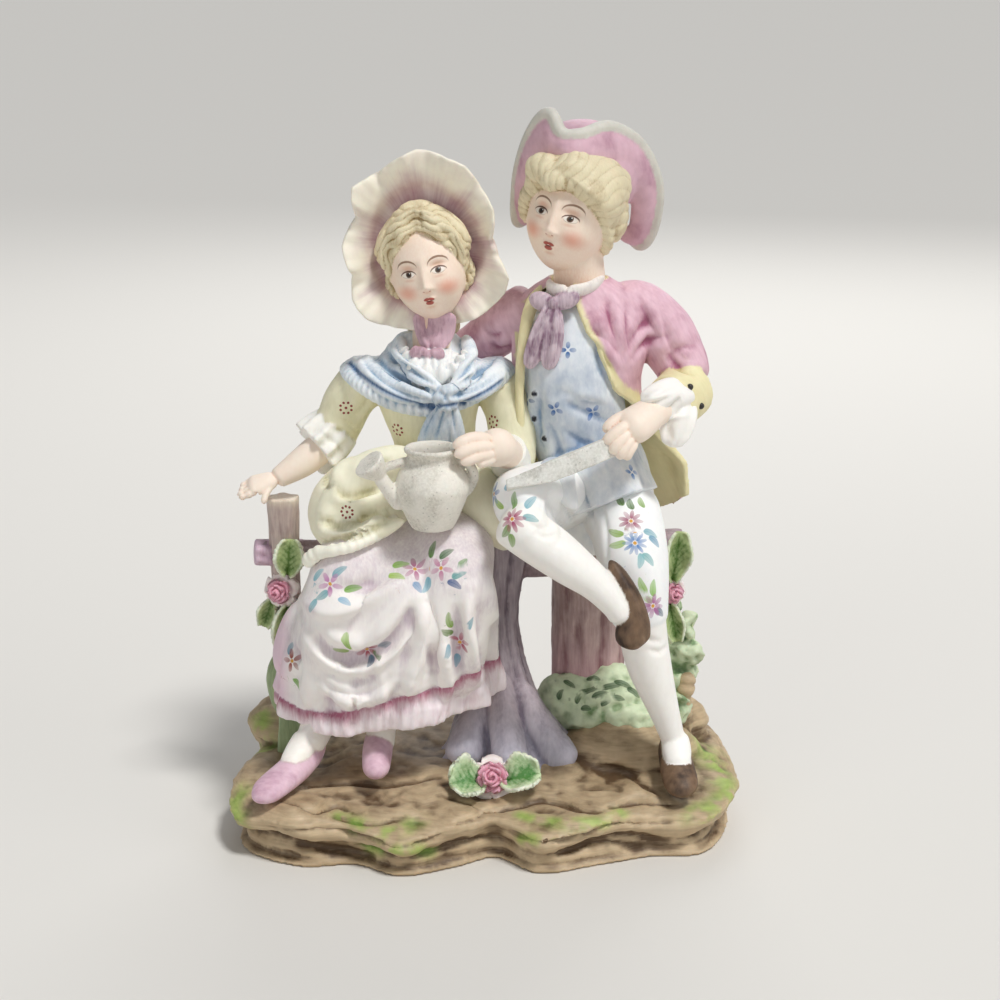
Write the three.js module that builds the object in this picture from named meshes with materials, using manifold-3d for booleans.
// Two children on a log bench, a cast bisque porcelain figurine, in millimetres.
// +Z is up, the children face -Y, and the origin lies on the flat underside of the rock base.
import * as THREE from "three";
import { mergeVertices } from "three/addons/utils/BufferGeometryUtils.js";
import Module from "manifold-3d";

const wasm = await Module();
wasm.setup();

// Driving dimensions
const lipHeight = 14; // the rock's rim, where it juts out furthest
const groundHeight = 22; // the middle of the rock's top
const benchHeight = 84; // axis of the log that both sit on
const benchRadius = 8;
const clothWall = 2.2; // cast cloth, such as brims, ruffles and coat tails
const leafWall = 1.3;
const canWall = 1.6;
const canRadius = 11.4;
const sleeveRadius = 8;
const rimRadius = 1.7; // rolled edge of the hat
const faceCount = 9700; // faces left on the whole cast

const point = (x, y, z) => new THREE.Vector3(x, y, z);
const mix = THREE.MathUtils.lerp;
const curve = (points, closed = false) =>
  new THREE.CatmullRomCurve3(points.map((p) => point(...p)), closed, "catmullrom", 0.5);
const bump = (distance, width) => Math.exp(-((distance / width) ** 2));

// Moves the points of a three.js geometry: place gets the grid column and row of each point.
function moved(geometry, columns, place) {
  const at = geometry.attributes.position;
  for (let i = 0; i < at.count; i++) {
    const p = place(i % (columns + 1), Math.floor(i / (columns + 1)));
    at.setXYZ(i, p.x, p.y, p.z);
  }
  return geometry;
}

// A sphere's net drawn over any rounded form: place(turn, along) gives the point, both from 0 to 1.
function wrap(sides, rows, place) {
  return moved(new THREE.SphereGeometry(1, sides, rows), sides, (column, row) =>
    place((column % sides) / sides, row / rows));
}

// A limb or body: oval rings [x, y, z, half width, half depth] along a smooth line. Its ends are round over
// a share of its length, or cut flat.
function skin(rings, { sides = 10, rows = 8, across = [1, 0, 0], round = 0.2, relief = () => 0 } = {}) {
  const line = curve(rings.map((r) => r.slice(0, 3)));
  const size = curve(rings.map((r) => [r[3], r[4] ?? r[3], 0]));
  const reference = point(...across);
  return wrap(sides, rows, (turn, along) => {
    const flat = THREE.MathUtils.clamp((along * rows - 1) / (rows - 2), 0, 1);
    const t = round ? (1 - Math.cos(Math.PI * along)) / 2 : flat;
    const tangent = line.getTangent(t);
    const a = reference.clone().addScaledVector(tangent, -reference.dot(tangent)).normalize();
    const b = tangent.clone().cross(a);
    const inward = round ? Math.max(0, 1 - Math.min(t, 1 - t) / round) : Number(along % 1 === 0);
    const cap = Math.sqrt(Math.max(0, 1 - inward ** 2));
    const angle = -2 * Math.PI * turn;
    const extra = relief(t, -angle);
    const s = size.getPoint(t);
    return line.getPoint(t)
      .addScaledVector(a, cap * (s.x + extra) * Math.cos(angle))
      .addScaledVector(b, cap * (s.y + extra) * Math.sin(angle));
  });
}

// A ball with three half sizes, turned about the view axis.
function ball(centre, half, { sides = 12, rows = 8, lean = 0, shape = (p) => p } = {}) {
  const g = new THREE.SphereGeometry(1, sides, rows);
  const at = g.attributes.position;
  for (let i = 0; i < at.count; i++) {
    const p = shape(point(at.getX(i), at.getZ(i) * -1, at.getY(i)));
    at.setXYZ(i, p.x * half[0], p.y * half[1], p.z * half[2]);
  }
  return g.rotateY(THREE.MathUtils.degToRad(lean)).translate(...centre);
}

// A sheet of even thickness: place(u, v) gives its middle surface.
function sheet(columns, rows, wall, place) {
  const g = new THREE.BoxGeometry(1, 1, 1, columns, rows, 1);
  const at = g.attributes.position;
  const step = 0.01;
  for (let i = 0; i < at.count; i++) {
    const u = at.getX(i) + 0.5;
    const v = at.getY(i) + 0.5;
    const p = place(u, v);
    const du = place(Math.min(1, u + step), v).sub(place(Math.max(0, u - step), v));
    const dv = place(u, Math.min(1, v + step)).sub(place(u, Math.max(0, v - step)));
    p.addScaledVector(du.cross(dv).normalize(), at.getZ(i) * wall);
    at.setXYZ(i, p.x, p.y, p.z);
  }
  return g;
}

// A ring with a shaped section: section(turn) gives the section's corners in space.
function hoop(sides, corners, section) {
  return moved(new THREE.TorusGeometry(2, 1, corners, sides), sides, (column, row) =>
    section((column % sides) / sides)[row % corners]);
}

// A turned form: profile [radius, height] from the bottom to the top, both ends on the axis.
function turned(profile, sides, centre) {
  const outline = profile.map(([r, z]) => new THREE.Vector2(r, z));
  return new THREE.LatheGeometry(outline, sides).rotateX(Math.PI / 2).translate(...centre);
}

// A closed manifold-3d solid from a geometry, with its faces turned outwards.
function solid(geometry) {
  const bare = geometry.clone();
  for (const name of Object.keys(bare.attributes)) if (name !== "position") bare.deleteAttribute(name);
  const merged = mergeVertices(bare, 1e-4);
  const triangles = [];
  const index = merged.index.array;
  for (let i = 0; i < index.length; i += 3) {
    const [a, b, c] = index.slice(i, i + 3);
    if (a !== b && b !== c && a !== c) triangles.push(a, b, c);
  }
  const build = () =>
    new wasm.Manifold(new wasm.Mesh({
      numProp: 3,
      vertProperties: merged.attributes.position.array,
      triVerts: new Uint32Array(triangles),
    }));
  let made = build();
  if (made.volume() < 0) {
    for (let i = 0; i < triangles.length; i += 3)
      [triangles[i + 1], triangles[i + 2]] = [triangles[i + 2], triangles[i + 1]];
    made = build();
  }
  return made;
}

// Joining leaves slivers and more faces than the shape needs. The edges that matter least to the shape are
// closed up, cheapest first, and never where that would turn a face over or pinch the surface.
function lightened({ vertProperties, triVerts }, wanted) {
  const points = [];
  for (let i = 0; i < vertProperties.length; i += 3) points.push(point(...vertProperties.slice(i, i + 3)));
  const around = points.map(() => new Set());
  const planes = points.map(() => new Float64Array(10));
  const normalOf = ([a, b, c]) =>
    points[b].clone().sub(points[a]).cross(points[c].clone().sub(points[a]));
  for (let i = 0; i < triVerts.length; i += 3) {
    const face = [...triVerts.slice(i, i + 3)];
    const n = normalOf(face);
    const area = n.length();
    n.divideScalar(area || 1);
    const d = -n.dot(points[face[0]]);
    const plane = [n.x, n.y, n.z, d];
    const terms = plane.flatMap((first, k) => plane.slice(k).map((second) => first * second));
    for (const v of face) {
      around[v].add(face);
      terms.forEach((term, k) => (planes[v][k] += area * term));
    }
  }
  const error = (q, { x, y, z }) =>
    q[0] * x * x + q[4] * y * y + q[7] * z * z + q[9] +
    2 * (q[1] * x * y + q[2] * x * z + q[5] * y * z + q[3] * x + q[6] * y + q[8] * z);
  const neighbours = (v) => new Set([...around[v]].flat().filter((other) => other !== v));
  const keepsFacing = (v, gone, place) => [...around[v]].every((face) => {
    if (face.includes(gone)) return true;
    const before = normalOf(face);
    const old = points[v];
    points[v] = place;
    const after = normalOf(face);
    points[v] = old;
    return before.length() < 1e-6 || after.dot(before) > 0.35 * after.length() * before.length();
  });
  let count = triVerts.length / 3;
  let closed = 1;
  while (count > wanted && closed > 0) {
    const edges = [];
    points.forEach((p, a) => around[a].forEach((face) => {
      const b = face[(face.indexOf(a) + 1) % 3];
      if (a > b) return;
      const q = planes[a].map((term, k) => term + planes[b][k]);
      const length = p.distanceTo(points[b]);
      const [cost, place] = [p, points[b], p.clone().lerp(points[b], 0.5)]
        .map((at) => [error(q, at) + 1e-4 * length ** 2, at]).sort((m, n) => m[0] - n[0])[0];
      edges.push({ a, b, q, cost, place });
    }));
    edges.sort((m, n) => m.cost - n.cost);
    const touched = new Set();
    closed = 0;
    for (const { a, b, q, place } of edges.slice(0, edges.length / 6)) {
      if (count <= wanted) break;
      if (touched.has(a) || touched.has(b)) continue;
      const beside = neighbours(b);
      const shared = [...neighbours(a)].filter((v) => beside.has(v));
      if (shared.length !== 2 || !keepsFacing(a, b, place) || !keepsFacing(b, a, place)) continue;
      points[a] = place.clone();
      planes[a] = q;
      for (const face of [...around[b]]) {
        if (face.includes(a)) face.forEach((v) => around[v].delete(face));
        else {
          face[face.indexOf(b)] = a;
          around[a].add(face);
        }
      }
      around[b].clear();
      [a, b, ...shared].forEach((v) => touched.add(v));
      count -= 2;
      closed += 1;
    }
  }
  const left = new Set(around.flatMap((faces) => [...faces]));
  const corners = [...left].flat().flatMap((v) => points[v].toArray());
  const loose = new THREE.BufferGeometry()
    .setAttribute("position", new THREE.BufferAttribute(new Float32Array(corners), 3));
  return mergeVertices(loose, 1e-5);
}

const forms = [];
const add = (...geometries) => forms.push(...geometries);

// The rock: one outline, swelling to a fat lip and drawing in over the top
function rockBase() {
  const outline = curve([
    [83, -18, 0], [82, 8, 0], [76, 30, 0], [48, 40, 0], [14, 43, 0], [-20, 42, 0], [-54, 44, 0],
    [-78, 34, 0], [-77, 8, 0], [-82, -18, 0], [-79, -39, 0], [-60, -51, 0], [-42, -50, 0],
    [-27, -58, 0], [-10, -52, 0], [4, -45, 0], [18, -56, 0], [38, -50, 0], [55, -44, 0], [73, -41, 0],
  ], true);
  const levels = [
    [0, 0], [0.92, 0], [0.94, 3.5], [0.95, 6.5], [0.985, 9], [1, lipHeight - 1], [0.99, lipHeight + 2],
    [0.955, lipHeight + 4], [0.87, lipHeight + 5], [0.7, lipHeight + 6], [0.5, 21], [0.3, groundHeight],
    [0, groundHeight],
  ];
  const rows = levels.length - 1;
  return wrap(60, rows, (turn, along) => {
    const [reach, height] = levels[Math.round(along * rows)];
    const edge = outline.getPoint(turn);
    const x = edge.x * reach;
    const y = edge.y * reach;
    const slab = height > 5 ? 1 : 0;
    const slope = height > lipHeight ? 0.06 * y : 0;
    const rock = slab * (1.1 * Math.sin(x / 8 + y / 13) + 0.9 * Math.sin(x / 5.5 - y / 7 + 1));
    return point(x, y, height + slope + rock);
  });
}

function bench() {
  const bark = (count, depth) => (t, angle) => depth * Math.cos(count * angle);
  const roots = (t, angle) =>
    4 * Math.max(0, 1 - t / 0.4) ** 2 * Math.cos(5 * angle + 0.6) + 0.8 * Math.cos(9 * angle);
  add(
    skin([[-75, 1, 88, 4, 4], [-58, 3, 87, 4.4, 4.4], [-30, 9, benchHeight, benchRadius, benchRadius],
      [20, 13, benchHeight, benchRadius, benchRadius], [66, 15, benchHeight, 7, 7]],
    { across: [0, 0, 1], round: 0, rows: 12, sides: 12, relief: bark(6, 0.35) }),
    skin([[7, -5, 16, 28, 16], [6, -4, 25, 19, 13], [4, -1, 38, 13, 10.5], [2, 2, 52, 10.5, 9],
      [1, 4, 68, 9.8, 9.5], [0, 7, 90, 15, 11]], { sides: 24, rows: 13, round: 0, relief: roots }),
    skin([[36, 13, 17, 15, 13], [35, 13, 34, 12.5, 11], [34.5, 13, 55, 12, 10.5], [35, 12, 74, 12.5, 11],
      [38, 11, 92, 17, 13]], { sides: 21, rows: 7, round: 0, relief: bark(7, 0.7) }),
    skin([[-63, 2, 17, 7, 6], [-64, 0, 40, 4.6, 4.2], [-65, -1, 80, 4.2, 4], [-65, -2, 107.5, 5, 4.4]],
      { sides: 12, rows: 8, round: 0, relief: bark(5, 0.3) }),
    ball([-65, 22, 18], [17, 18, 9.5], { sides: 14, rows: 8, lean: 12 }),
    ball([72, 20, 26], [7, 7, 12], { sides: 8, rows: 6, lean: 10 }),
  );
}

// Leaves, bush and the two kinds of rose
function leaf(base, tip, width, facing) {
  const from = point(...base);
  const along = point(...tip).sub(from);
  const side = along.clone().cross(point(...facing)).normalize();
  const out = side.clone().cross(along).normalize();
  return sheet(3, 4, leafWall, (u, v) => {
    const half = width * (0.18 + 0.82 * Math.sin(Math.PI * Math.min(1, v * 0.92)) ** 0.8);
    return from.clone().addScaledVector(along, v)
      .addScaledVector(side, (u - 0.5) * half)
      .addScaledVector(out, 4 * (u - 0.5) ** 2 * width * 0.3 + Math.sin(Math.PI * v) * width * 0.12);
  });
}

function rose(centre, radius, facing) {
  const axis = point(...facing).normalize();
  const turn = new THREE.Quaternion().setFromUnitVectors(point(0, 0, 1), axis);
  const petals = 5;
  return wrap(petals * 4, 6, (around, along) => {
    const reach = [0, 0.75, 1, 1.02, 0.5, 0.42, 0][Math.round(along * 6)];
    const height = [-0.7, -0.6, 0.05, 0.3, 0.12, 0.6, 0.62][Math.round(along * 6)];
    const lobe = 1 + 0.2 * Math.cos(petals * 2 * Math.PI * around) * reach;
    const angle = 2 * Math.PI * around;
    return point(Math.cos(angle) * reach * lobe, Math.sin(angle) * reach * lobe, height)
      .multiplyScalar(radius).applyQuaternion(turn).add(point(...centre));
  });
}

function greenery() {
  const clumps = [[29, 1, 27, 14, 14], [44, 1, 29, 16, 15], [58, 6, 32, 13, 15], [65, 14, 44, 7.5, 9],
    [66, 14, 57, 6, 7.5],
    [62, 14, 68, 5.5, 8]];
  for (const [x, y, z, wide, high] of clumps)
    add(ball([x, y, z], [wide, wide * 0.65, high], { sides: 14, rows: 9, shape: (p) =>
      p.multiplyScalar(1 + 0.07 * Math.sin(6 * p.x + 5 * p.z) + 0.05 * Math.sin(9 * p.z - 4 * p.y)) }));
  add(
    leaf([-62, -6, 78], [-61, -6, 93], 11, [0, -1, 0.1]),
    leaf([-64, -5, 62], [-70, -5, 46], 10, [0.2, -1, 0.2]),
    leaf([-62, -5, 60], [-55, -6, 73], 9, [0.2, -1, 0.2]),
    rose([-65, -6, 71], 6.2, [-0.3, -1, 0.1]),
    leaf([63, 11, 66], [66, 9, 86], 11, [0.2, -1, 0]),
    leaf([64, 10, 62], [67, 8, 46], 8, [0.2, -1, 0]),
    rose([64, 9.5, 69], 5.8, [0.35, -1, 0]),
    leaf([-1, -31, 20.5], [-10, -35, 21.5], 12, [0, -0.8, 1]),
    leaf([6, -31, 20.5], [17, -33, 24], 11, [0, -0.8, 1]),
    rose([2.5, -32, 22.5], 5.8, [0, -0.9, 0.5]),
  );
}

// A hand: a flat palm with four fingers and a thumb. The knuckles lie along side.
function hand(wrist, knuckles, tips, side, thumb, size) {
  const along = (p, amount) => p.map((value, i) => value + side[i] * amount);
  add(skin([[...wrist, size * 0.75, size * 0.6], [...knuckles, size, size * 0.6],
    [...knuckles.map((value, i) => mix(value, tips[i], 0.15)), size * 0.9, size * 0.5]],
  { sides: 8, rows: 5, across: side }));
  for (const place of [-0.75, -0.25, 0.25, 0.75]) {
    const root = along(knuckles, place * size);
    const tip = along(tips, place * size * 0.8);
    const bend = root.map((value, i) => mix(value, tip[i], 0.55));
    add(skin([root, bend, tip].map((p) => [...p, size * 0.26, size * 0.26]),
      { sides: 6, rows: 4, across: side }));
  }
  add(skin([wrist, thumb[0], thumb[1]].map((p) => [...p, size * 0.28, size * 0.28]),
    { sides: 6, rows: 4, across: side }));
}

// The girl's skirt hangs from her lap and knees, in deep folds, to a ruffled hem
function skirts() {
  const folds = (t, angle) => {
    const low = Math.max(0, 1 - t / 0.66);
    return 3 * low * Math.cos(10 * angle + 1.6 * Math.sin(2 * angle) + 0.5) + low * Math.cos(23 * angle);
  };
  const hemRise = (x) => 0.15 * Math.max(0, x + 42) + 0.06 * Math.max(0, -50 - x) ** 1.2;
  const levels = [
    [-31, -9, 48, 0, 0], [-31, -9, 47, 24, 15], [-31, -10, 38.5, 33.5, 21.5], [-31.5, -11, 38, 35.5, 23.5],
    [-32, -11, 43, 36, 24.5], [-32, -11, 48, 35, 24.5], [-32, -12, 56, 34.5, 25.5], [-31, -12, 66, 33, 27],
    [-29, -12, 76, 30.5, 28], [-27, -11, 86, 28.5, 27.5], [-25, -9, 94, 26.5, 25], [-21, -4, 103, 22, 18],
    [-17, 2, 112, 14, 11.5], [-16, 2, 116, 0, 0],
  ];
  const rows = levels.length - 1;
  add(wrap(54, rows, (turn, along) => {
    const [x, y, z, a, b] = levels[Math.round(along * rows)];
    const angle = 2 * Math.PI * turn;
    const fold = a === 0 ? 0 : folds(along, angle);
    const px = x + (a + fold) * Math.cos(angle);
    return point(px, y + (b + fold) * Math.sin(angle), z + (z < 60 ? hemRise(px) : 0));
  }));
  const swag = { sides: 8, rows: 10, round: 0.3 };
  add(
    skin([[-24, 4, 99, 15, 13], [-35, -16, 95, 14, 12.5], [-43, -27, 87, 12, 12], [-47, -29.5, 72, 10, 9],
      [-50, -27, 54, 10, 8],
      [-51, -24, 42, 9, 7]], { sides: 18, rows: 14, round: 0.16 }),
    skin([[-16, 4, 99, 14, 13], [-11, -16, 96, 14, 12.5], [-9, -28, 89, 12, 12], [-8, -29, 74, 10, 9],
      [-9, -26, 58, 9, 8],
      [-10, -24, 46, 7, 6]], { sides: 18, rows: 14, round: 0.16 }),
    // folds that fall between the knees, and the loop of cloth caught up at her right knee
    skin([[-54, -31, 66, 4, 4], [-49, -33, 57, 4.5, 4.5], [-40, -34, 52, 4.8, 5], [-31, -34, 57, 4.5, 5],
      [-24, -34, 68, 4, 5],
      [-18, -34, 80, 4, 5]], swag),
    skin([[-15, -35, 84, 4, 4], [-19, -33, 66, 4, 5], [-24, -31, 47, 3.4, 4]], swag),
    skin([[-9, -34, 76, 4, 5], [-12, -31, 62, 3.6, 5], [-15, -28, 47, 3, 4]], swag),
    skin([[-58, -14, 76, 4, 6], [-63, -12, 62, 4.5, 8], [-67, -9, 51, 2.5, 7]], swag),
  );
}

// Her tucked-up overskirt: two rolls of cloth over the hip, edged by a gathered frill
function overskirt() {
  const roll = { sides: 14, rows: 12, round: 0.3, across: [0, 0, 1] };
  add(
    ball([-38, -9, 102], [18.5, 18, 13.5], { sides: 18, rows: 10, lean: -28 }),
    skin([[-20, -14, 117, 6, 5], [-33, -19, 115, 7.5, 6], [-44, -19, 108, 6.5, 6], [-46, -22, 101, 4.5, 5],
      [-36, -28, 103, 4, 4],
      [-24, -30, 107, 4, 4]], roll),
    skin([[-57, -3, 101, 5, 6], [-55, -13, 93, 6, 6], [-44, -24, 92, 6, 6], [-32, -30, 98, 5.5, 5],
      [-22, -32, 105, 4.5, 4]], roll),
    skin([[-12, -4, 117, 6, 8], [-2, -10, 111, 8, 10], [4, -12, 102, 7, 9], [6, -10, 92, 3, 6]], roll),
  );
  const frill = (rings, pleats) => skin(rings.map((p) => [...p, 3, 2.4]), {
    sides: 7, rows: pleats * 2, across: [0, 0, 1], round: 0.06,
    relief: (t) => 0.6 * Math.cos(2 * Math.PI * pleats * Math.acos(1 - 2 * t) / Math.PI),
  });
  add(frill([[-57, -6, 86], [-52, -20, 85.5], [-43, -29, 90], [-34, -33, 96.5], [-25, -34, 103],
    [-19, -33, 110]], 11));
}

function girlBody() {
  add(skin([[-15, 2, 110, 13, 11], [-15.5, 1, 122, 12.5, 10], [-17, 0, 135, 15, 12],
    [-18, 2, 147, 20, 10.5],
    [-16.5, 2, 154, 9, 7.5], [-16, -1, 168, 6, 6]], { sides: 16, rows: 11, round: 0 }));
  const neck = point(-16.5, 0, 155.5);
  // Shawl: a cape from the neck to a frilled edge, dipping to the knot in front and to a point behind
  const profile = [[0.0, 2, 0], [0.34, 1, 0], [0.62, -4, 0], [0.86, -5.5, 1], [1, -8, 1], [0.97, -11, 1],
    [0.8, -12, 1], [0, -12, 0]];
  const rows = profile.length - 1;
  add(wrap(30, rows, (turn, along) => {
    const [reach, drop, low] = profile[rows - Math.round(along * rows)];
    const angle = 2 * Math.PI * turn;
    const front = Math.max(0, -Math.sin(angle));
    const back = Math.max(0, Math.sin(angle));
    const dip = low * (9 * front ** 2 + 13 * back ** 3 - 2);
    const wave = low ? 0.7 * Math.cos(15 * angle) : 0;
    return point(
      neck.x - 1.5 + (27.5 + wave) * reach * Math.cos(angle),
      neck.y + 2 + (17 + wave) * reach * Math.sin(angle),
      neck.z + drop + (reach > 0.5 && !low ? -2 * Math.cos(angle) ** 2 : 0) - dip,
    );
  }));
  // Folds of the shawl, drawn from the shoulders to the knot
  const rolls = [
    [[-37, 4, 151.5, 2.6], [-37, -5, 149.5, 3], [-28, -12.5, 144.5, 3], [-14, -16, 142.5, 2]],
    [[-29, 5, 155, 2.2], [-28, -7, 151.5, 2.6], [-20, -13, 147, 2.6], [-12, -16, 144, 2]],
    [[4, 4, 150.5, 2.6], [4, -6, 148.5, 3], [-1, -13, 145, 2.8], [-9, -16, 143, 2]],
    [[-4, 5, 155, 2.2], [-3, -7, 151.5, 2.6], [-6, -13, 147.5, 2.4], [-10.5, -16, 144.5, 2]],
  ];
  for (const roll of rolls) add(skin(roll, { sides: 8, rows: 9 }));
  add(
    ball([-11.5, -17, 143], [4.2, 3.4, 4.6], { sides: 8, rows: 6 }),
    skin([[-11, -16, 142, 2.5, 2.5], [-14, -15, 134, 5, 2.6], [-16, -13, 125, 6.5, 2.4]],
      { sides: 8, rows: 5 }),
    skin([[-11, -16, 142, 2.5, 2.5], [-9.5, -14, 133, 3.2, 2.6], [-9.5, -12, 126, 3.6, 2.2]],
      { sides: 8, rows: 4 }),
    // ribbon tied under the chin
    skin([[-16, -9, 168, 5, 3], [-15.5, -7, 160, 5.4, 3.4], [-16, -9.5, 153, 6.4, 3.4]], { sides: 10, rows: 6 }),
  );
}

function girlArms() {
  const flare = { sides: 18, rows: 6, round: 0, relief: (t, angle) => 0.8 * t * Math.cos(6 * angle) };
  add(
    skin([[-34, 3, 147, 8.5, 8], [-42, 4, 140, sleeveRadius, sleeveRadius], [-47.5, 5, 129, 7.5, 7.5],
      [-52, 4, 120, 7, 7]],
      { rows: 7, round: 0.1 }),
    skin([[-46, 5, 129, 8, 8.4], [-52, 3, 124.5, 9, 9.6], [-57.5, 0, 120.5, 8.6, 9]],
      { ...flare, across: [0, 1, 0] }),
    skin([[-50, 5, 122, 7, 6], [-54, 6, 114, 5, 4.6], [-57, 6, 109, 2.4, 3]], { sides: 8, rows: 5 }),
    skin([[-51, 2, 123, 5.4, 5.4], [-58, -1, 119, 5.2, 5], [-67, -5, 113.5, 3.6, 3.3]],
      { sides: 9, rows: 6, round: 0.08 }),
    skin([[3, 3, 146, 8.5, 8], [8, 1, 136, 8, sleeveRadius], [9, -3, 125, 7.6, 7.6],
      [8, -9, 119, 7.4, 7.2]],
      { rows: 7, round: 0.15 }),
    skin([[8, -7, 120, 7.5, 7], [6, -15, 123, 7.6, 7.4], [4, -20, 126, 7.2, 6.6]],
      { ...flare, across: [1, 0, 0] }),
  );
  hand([-66, -5, 113.5], [-71, -7, 111.5], [-77, -8, 108.5], [0.1, -0.95, -0.1], [[-68, -9, 111],
    [-66, -11, 108.5]], 3.9);
  hand([5, -20, 127], [-1, -28, 130.5], [-9.5, -31.5, 129.5], [-0.15, -0.25, 0.95], [[-1, -29, 126.5],
    [-4, -31, 124.5]], 4.3);
}

// A head from a ball: the jaw narrows, and the cheeks and chin stay round
function head(centre, half, lean, yaw) {
  const { degToRad } = THREE.MathUtils;
  const place = (g) => g.rotateZ(degToRad(yaw)).rotateY(degToRad(lean)).translate(...centre);
  const skull = ball([0, 0, 0], half, { sides: 18, rows: 12, shape: (p) => {
    const low = Math.max(0, -p.z);
    p.x *= 1 - 0.26 * low ** 2;
    if (p.y < 0) p.y *= 1 - 0.1 * low + 0.12 * bump(p.z + 0.15, 0.16) * bump(p.x, 0.18);
    return p;
  } });
  const nose = ball([0, -half[1] * 0.99, -half[2] * 0.13], [1.5, 2, 2], { sides: 6, rows: 4 });
  return [place(skull), place(nose)];
}

function girlHead() {
  const centre = [-17.4, -3, 181.3];
  const lean = -11;
  add(...head(centre, [11.8, 12.5, 16], lean, -4));
  const waves = (p) => p.multiplyScalar(1 + 0.045 * Math.cos(9 * Math.atan2(p.x, p.z)));
  add(
    ball([-16.5, 5, 166], [9.5, 7, 11], { sides: 12, rows: 8 }),
    ball([-19, 1.5, 186], [15.4, 13.8, 15], { sides: 24, rows: 12, lean, shape: waves }),
    skin([[-29, -4, 190, 4, 5], [-32, -3, 181, 3.8, 5.5], [-29.5, -1, 171, 3.4, 5], [-26, 2, 162, 3, 4.5]],
      { sides: 10, rows: 8 }),
    skin([[-8, -4, 193, 4, 5], [-4.5, -3, 183, 3.8, 5.5], [-5.5, -1, 173, 3.4, 5], [-7, 2, 163, 3, 4.5]],
      { sides: 10, rows: 8 }),
  );
  // Bonnet: a frilled brim round the face and a gathered crown behind
  const profile = [[0, -3], [0.58, -2], [0.75, -6.5], [1, -10.5], [1.02, -8.8], [0.78, -3.5], [0.66, 2],
    [0.72, 9], [0.62, 17], [0.3, 21.5], [0, 22.5]];
  const rows = profile.length - 1;
  const tilt = THREE.MathUtils.degToRad(lean);
  add(wrap(54, rows, (turn, along) => {
    const [reach, back] = profile[Math.round(along * rows)];
    const angle = 2 * Math.PI * turn;
    const edge = Math.max(0, (reach - 0.7) / 0.3);
    const scallop = edge * Math.cos(9 * angle + 0.8);
    const wide = 25 * reach + scallop * 1.5;
    const high = (Math.sin(angle) > 0 ? 31 : 24) * reach + scallop * 1.5;
    const chinCut = 5 * edge * Math.max(0, -Math.sin(angle)) ** 2;
    return point(Math.cos(angle) * wide, back + scallop * 2 + chinCut, Math.sin(angle) * high)
      .applyAxisAngle(point(0, 1, 0), tilt).add(point(-17.8, 2, 186));
  }));
}

function legs() {
  const shoe = (rings) => skin(rings, { sides: 10, rows: 7, round: 0.22 });
  add(
    skin([[-47, -12, 50, 6.5, 6.5], [-53, -21, 38, 5.6, 5.4], [-57, -28, 30, 4.6, 4.4]], { rows: 6 }),
    shoe([[-52.5, -20, 31, 4.6, 5.5], [-60, -32, 26, 5.6, 5], [-67, -42, 23.5, 6, 4],
      [-72, -49, 21.5, 4.5, 3.2]]),
    skin([[-33, -10, 50, 6, 6], [-33.5, -19, 34, 4.8, 4.8], [-34, -22, 28, 4.6, 4.6]], { rows: 5 }),
    shoe([[-34, -16, 32, 4.6, 5.4], [-34.5, -25, 28, 5, 5], [-34.5, -35, 24.5, 4.2, 3.4]]),
    // the boy's straight leg
    skin([[42, 6, 104, 14, 12], [45, -14, 101, 12, 12], [47, -28, 91, 10.8, 10.8], [48, -32, 77, 9, 9],
      [49, -32, 70, 8, 8]],
      { sides: 14, rows: 10, round: 0.18 }),
    skin([[48.5, -30, 84, 8, 8], [50, -29.5, 70, 7.6, 7.6], [52.5, -27, 58, 7, 7.2],
      [57.7, -23.5, 42, 4.8, 5.2],
      [61, -21.5, 31, 3.8, 4.4], [61.5, -21, 25, 4, 4.6]], { sides: 12, rows: 12, round: 0.08 }),
    shoe([[61, -13, 30, 4.6, 6.5], [61.5, -25, 27.5, 5.6, 6], [62, -36, 23.5, 6.4, 4.6],
      [62, -44, 21, 4.6, 3.2]]),
    // his other leg, crossed over it
    skin([[30, 6, 107, 13, 12], [21, -14, 111, 12, 11.5], [12, -29, 113, 11, 11],
      [5.5, -35, 112, 10, 10.2]],
      { sides: 14, rows: 10, round: 0.3 }),
    skin([[7, -35, 112, 9, 9], [15, -37.5, 105.5, 8.2, 8], [25.5, -38, 97.5, 7.3, 7],
      [34.5, -37, 91, 5.6, 5.6], [41.5, -35.5, 80.5, 3.8, 3.8],
      [44, -35, 76, 3.8, 3.8]], { sides: 12, rows: 12, round: 0.1, across: [0, 1, 0] }),
    skin([[38.5, -29.5, 94, 3.6, 4.4], [44.5, -32, 84, 5.4, 5.6], [48.5, -35.5, 75, 6, 5.4],
      [48.5, -38.5, 67.5, 4.6, 3.8]],
      { sides: 12, rows: 9, round: 0.2, across: [0, 1, 0] }),
  );
}

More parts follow.
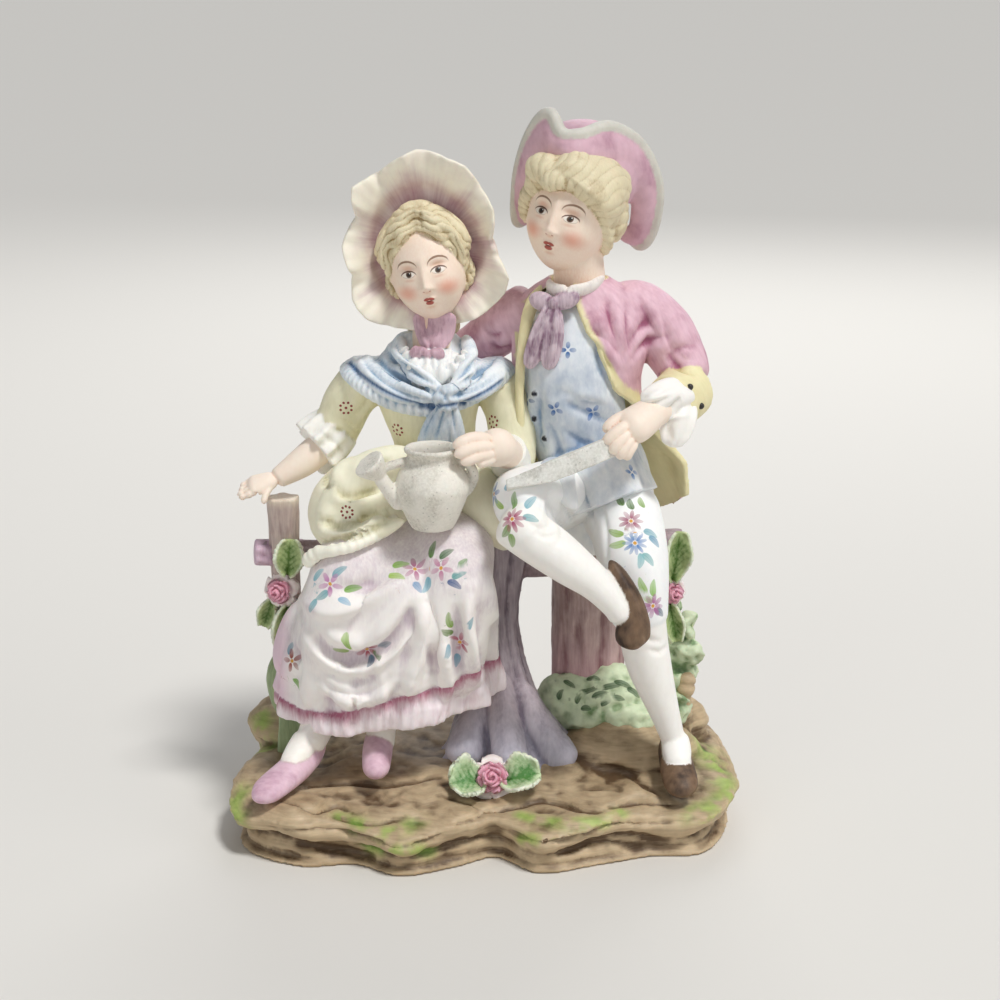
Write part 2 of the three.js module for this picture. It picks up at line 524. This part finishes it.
function boyBody() {
  add(skin([[39, 6, 91, 18, 13], [36, 3, 113, 17.5, 13], [31, 1, 128, 15.5, 12], [28.5, 0, 146, 16, 12.5],
    [30, 3.5, 162, 18.5, 11.5], [30, 4.5, 171, 12, 8.5], [30, 3, 176, 8.4, 7.6], [29, 1, 190, 7.6, 7.6]],
  { sides: 20, rows: 16, round: 0 }));
  // Waistcoat skirt over the hips and the straight thigh
  add(
    skin([[35, -1, 122, 16, 12.5], [38.5, -5, 112, 18, 14], [40.5, -8, 104, 18, 14.5]],
      { sides: 20, rows: 7, round: 0, relief: (t, angle) => 1.2 * t * Math.cos(6 * angle) }),
  );
  // Coat: open in front, from the collar to the flared tail. Each front edge is an angle from the back seam.
  const coat = curve([[30, 5, 177], [30, 5, 171], [31, 4, 160], [29.5, 3, 145], [31, 4, 128], [36, 6, 112],
    [40, 9, 94]]);
  const reach = curve([[8.5, 8.5, 0], [17, 11, 0], [21, 14, 0], [19, 14.5, 0], [18.5, 14, 0], [23, 17, 0],
    [29, 20, 0]]);
  add(sheet(26, 10, clothWall, (u, v) => {
    const t = 1 - v;
    const left = mix(104, 90, t);
    const right = mix(195, 112, t ** 1.5);
    const angle = THREE.MathUtils.degToRad(90 + mix(left, -right, u));
    const centre = coat.getPoint(t);
    const size = reach.getPoint(t);
    return centre.add(point(size.x * Math.cos(angle), size.y * Math.sin(angle), 0));
  }));
  // Jabot: a bow and two hanging ends
  add(
    ball([17.5, -8.5, 170], [4.6, 2.6, 4], { sides: 10, rows: 7, lean: 20 }),
    ball([26, -9.5, 170.5], [5.4, 2.6, 4], { sides: 10, rows: 7, lean: -15 }),
    skin([[21, -10, 170, 2.4, 2.2], [16.5, -11.5, 159, 3.6, 2.4], [14.5, -11.5, 148, 3.2, 2]],
      { sides: 8, rows: 6 }),
    skin([[22, -10, 170, 2.4, 2.2], [21.5, -12, 159, 3.6, 2.6], [19, -12.5, 147, 2.8, 2]],
      { sides: 8, rows: 6 }),
  );
}

function boyArms() {
  add(
    skin([[36, 6, 167, 10, 8.5], [48, 7.5, 165, 11, 10], [58, 7, 158.5, 10.5, 10], [65, 5, 150, 9, 9],
      [69, 1, 141.5, 8, 8.4]],
      { sides: 14, rows: 12, round: 0.16 }),
    skin([[71, 3, 142, 7, 8], [68, -4, 141, 8.6, 9.8], [64, -11, 140.5, 9.4, 10.6]],
      { sides: 14, rows: 6, round: 0 }),
    skin([[65, -9, 140.5, 6, 9], [60, -14, 139.5, 7.4, 10], [56, -18, 139, 7, 9.6]],
      { sides: 18, rows: 6, round: 0, relief: (t, angle) => 0.8 * Math.cos(6 * angle) }),
    skin([[61, -13, 140, 4.4, 4.6], [48, -25, 137, 4.2, 4.4]], { sides: 10, rows: 5 }),
    ball([47.8, -25, 136.5], [6.6, 5.6, 6], { sides: 10, rows: 7, lean: -20 }),
    skin([[46, -30, 139, 1.9, 1.9], [41, -31.5, 135, 1.9, 1.9], [39.5, -29, 131, 1.7, 1.7]],
      { sides: 6, rows: 4 }),
    skin([[50, -29, 134, 1.9, 1.9], [46, -31, 130, 1.8, 1.8], [43, -29, 127, 1.6, 1.6]],
      { sides: 6, rows: 4 }),
    // the arm behind the girl, and its hand on her back
    skin([[18, 8, 168, 9.5, 8.5], [8, 11, 162, 9, 8.5], [-2, 14, 154, 7.6, 7.4], [-12, 15, 148, 7, 6]],
      { sides: 10, rows: 7, round: 0.15 }),
  );
  hand([-12, 16, 147], [-19, 15.5, 144], [-27, 13.5, 141], [0.2, 0, 0.98], [[-15, 17, 150],
    [-21, 16, 152]], 4.2);
  // stone bar, held in the fist and resting on the knee
  const bar = curve([[7, -38, 121.2], [22, -36.5, 126], [42, -29, 132.5]]);
  add(sheet(5, 1, 4, (u, v) => {
    const height = mix(2.4, 6.4, Math.min(1, u * 2.2));
    return bar.getPoint(u).add(point(0, (v - 0.5) * 1.5, (v - 0.5) * height));
  }));
}

function boyHead() {
  const lean = 14;
  add(...head([26.5, 0, 197], [13, 13.5, 17], lean, -24));
  const waves = (p) => p.multiplyScalar(1 + 0.045 * Math.cos(8 * Math.atan2(p.x, p.z) + 2 * p.y));
  add(
    ball([28.5, 4, 206], [17.4, 14.8, 13.5], { sides: 24, rows: 12, lean, shape: waves }),
    skin([[41, 2, 206, 5, 7], [42, 3, 197, 5, 7.5], [38, 4, 189, 3.6, 6]], { sides: 10, rows: 8 }),
    skin([[13, 1, 208, 3.4, 6], [12.5, 2, 201, 3.4, 6], [14, 3, 195, 3, 5]], { sides: 9, rows: 7 }),
    ball([18.5, -7, 213.5], [5.6, 5, 5.4], { sides: 10, rows: 8 }),
    // crown of the hat
    ball([31, 11, 210], [18, 15.5, 16], { sides: 20, rows: 10, lean: 8 }),
  );
  // Brim: turned up all round, with corners at the front and at both back sides, and a rolled edge
  const edge = curve([
    [20.6, -3, 228.5], [24, -6, 223], [30, -5, 222.8], [38.5, 1, 224.5], [48.5, 8, 218.5], [54.5, 12, 206],
    [54, 17, 192], [50, 20, 185.5], [44, 25, 192], [32, 29, 204], [19, 26, 201], [11, 19, 193],
    [10.5, 14, 206], [13, 8, 218], [17, 1, 226.5],
  ], true);
  const root = curve([
    [23, -6, 215], [27, -7, 214], [32, -6, 213], [38, -2, 212], [43, 3, 209], [46, 8, 203],
    [46, 15, 193], [43, 19, 191], [38, 22, 193], [31, 24, 194], [22, 22, 195], [16, 16, 196],
    [14.5, 9, 203], [16, 3, 209], [20, -3, 213],
  ], true);
  const half = clothWall / 2;
  add(hoop(44, 4, (turn) => {
    const e = edge.getPoint(turn);
    const r = root.getPoint(turn);
    const across = edge.getTangent(turn).cross(e.clone().sub(r)).normalize();
    return [[r, half], [r, -half], [e, -half],
      [e, half]].map(([p, side]) => p.clone().addScaledVector(across, side));
  }));
  add(hoop(60, 8, (turn) => {
    const along = edge.getTangent(turn);
    const up = along.clone().cross(point(0, 1, 0)).normalize();
    const out = up.clone().cross(along);
    return Array.from({ length: 8 }, (_, i) => edge.getPoint(turn)
      .addScaledVector(up, rimRadius * Math.cos(i * Math.PI / 4))
      .addScaledVector(out, rimRadius * Math.sin(i * Math.PI / 4)));
  }));
}

function wateringCan() {
  const centre = [-15.7, -31, 106];
  const z = [0, 2, 13, 19, 20.5, 25];
  const outer = [[0, z[0]], [6, z[0]], [8.8, 5], [canRadius - 0.5, 10.5], [canRadius, 14], [10, 18],
    [7.8, z[4]], [7.4, 23.5], [8.2, z[5]]];
  const inner = [[8.2 - canWall, z[5]], [6, z[4]], [10 - canWall, 17], [canRadius - canWall, 13.5],
    [7.2, 5.5], [5, 2.5], [0, 2.5]];
  add(
    skin([[-24, -32, 113, 3.6, 3.6], [-29, -33.5, 119, 2.4, 2.4], [-32, -34.5, 124, 2.2, 2.2]],
      { sides: 7, rows: 5 }),
    skin([[-31.5, -34.3, 123.5, 1.8, 1.8], [-33, -35, 125.5, 4.2, 4.2], [-34.5, -35.6, 127.3, 4.4, 4.4]],
      { sides: 12, rows: 5, round: 0 }),
    skin([[-32, -34.5, 125, 1.4, 1.4], [-27, -33, 126.5, 1.4, 1.4], [-22, -32, 127.5, 1.5, 1.5]],
      { sides: 6, rows: 3 }),
    skin([[-8.5, -31, 129, 1.5, 1.5], [-3.5, -31, 127.5, 1.5, 1.5], [-1.5, -31, 122, 1.5, 1.5],
      [-5, -31, 115, 1.5, 1.5]], { sides: 6, rows: 6, across: [0, 1, 0] }),
  );
  const pot = solid(turned([...outer, ...inner], 18, centre));
  const hollow = solid(turned([[0, 2.5], ...inner.slice(0, -1).reverse(), [8.2 - canWall, 30],
    [0, 30]], 18, centre));
  return { pot, hollow };
}

bench();
greenery();
skirts();
overskirt();
girlBody();
girlArms();
girlHead();
legs();
boyBody();
boyArms();
boyHead();
const can = wateringCan();
add(rockBase());

// Everything is one casting, so all forms join. The watering can is hollow down to its floor.
let figurine = can.pot;
for (const form of forms) figurine = figurine.add(solid(form));
figurine = figurine.subtract(can.hollow);

const geometry = lightened(figurine.getMesh(), faceCount);
geometry.computeVertexNormals();
const bisque = new THREE.MeshStandardMaterial({ color: 0xeee6dc, roughness: 0.7, metalness: 0 });
const mesh = new THREE.Mesh(geometry, bisque);
mesh.name = "figurine";

const group = new THREE.Group();
group.add(mesh);
export default group;
